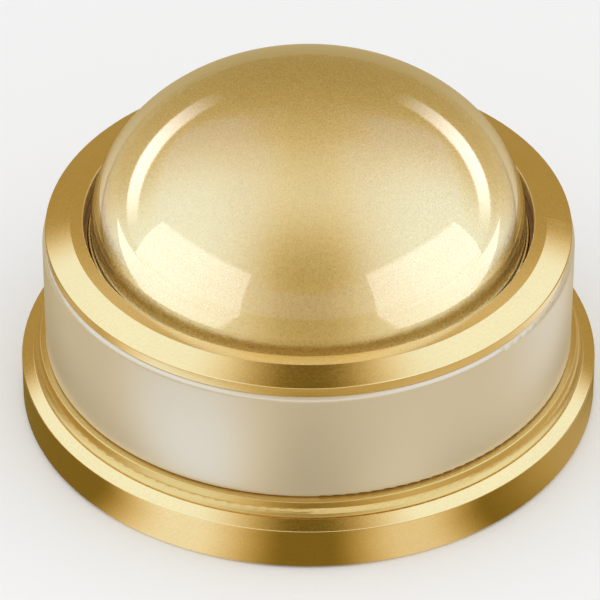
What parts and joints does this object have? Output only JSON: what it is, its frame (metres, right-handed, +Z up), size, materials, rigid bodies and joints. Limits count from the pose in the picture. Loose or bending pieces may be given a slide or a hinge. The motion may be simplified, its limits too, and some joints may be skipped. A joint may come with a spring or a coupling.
{
  "type": "arcade button",
  "caption": "Large free-standing dome push button with a clear dome over a gold cup, a gold bezel, an ivory drum and a stepped gold base; the dome presses down on a spring.",
  "frame": {"origin": "centre of the underside of the rubber foot ring, on the surface that the button stands on", "axes": "+Z up along the axis of the dome and the press, -Y towards the front of the picture, +X to the right"},
  "size_m": [0.1, 0.1, 0.0615],
  "materials": {
    "gold": "gold anodised, satin turned",
    "gold_cup": "gold, spun satin",
    "ivory": "pearl ivory, satin",
    "clear_dome": "clear acrylic, polished",
    "black_plastic": "moulded, matt",
    "bush": "natural acetal, satin",
    "rubber": "matt",
    "spring_steel": "bright wire",
    "screw_steel": "zinc plated",
    "insert_brass": "machined",
    "switch_black": "moulded, matt",
    "switch_red": "moulded",
    "contact_metal": "tinned"
  },
  "bodies": {
    "housing": {"base_ring": "gold", "foot_ring": "rubber", "bottom_plate": "black_plastic", "plate_screws": "screw_steel", "mount_inserts": "insert_brass", "cable_grommet": "rubber", "cove_ring": "gold", "drum": "ivory", "bezel_ring": "gold", "tie_screws": "screw_steel", "chassis": "black_plastic", "guide_bush": "bush", "return_spring": "spring_steel", "switch_case": "switch_black", "lever_pivot": "spring_steel", "switch_terminals": "contact_metal", "switch_screws": "screw_steel"},
    "button": {"carrier": "black_plastic", "cushion_ring": "rubber", "gold_cup": "gold_cup", "dome_lens": "clear_dome"},
    "switch_lever": {"switch_lever": "spring_steel"},
    "switch_pin": {"switch_pin": "switch_red"}
  },
  "joints": [
    {"name": "button_press", "type": "slide", "parent": "housing", "child": "button", "axis": [0, 0, -1], "range_m": [0, 0.0045], "stiffness_N_per_m": 400, "springref_m": -0.01, "deforming": ["return_spring"]},
    {"name": "lever_swing", "type": "hinge", "parent": "housing", "child": "switch_lever", "pos_m": [0.0205, 0, 0.02], "axis": [0, -1, 0], "range_deg": [0, 13]},
    {"name": "pin_press", "type": "slide", "parent": "housing", "child": "switch_pin", "axis": [0, 0, -1], "range_m": [0, 0.001]}
  ],
  "couplings": [
    {"joint": "lever_swing", "follows": "button_press", "rad_per_m": 48.4},
    {"joint": "pin_press", "follows": "button_press", "ratio": 0.22}
  ]
}
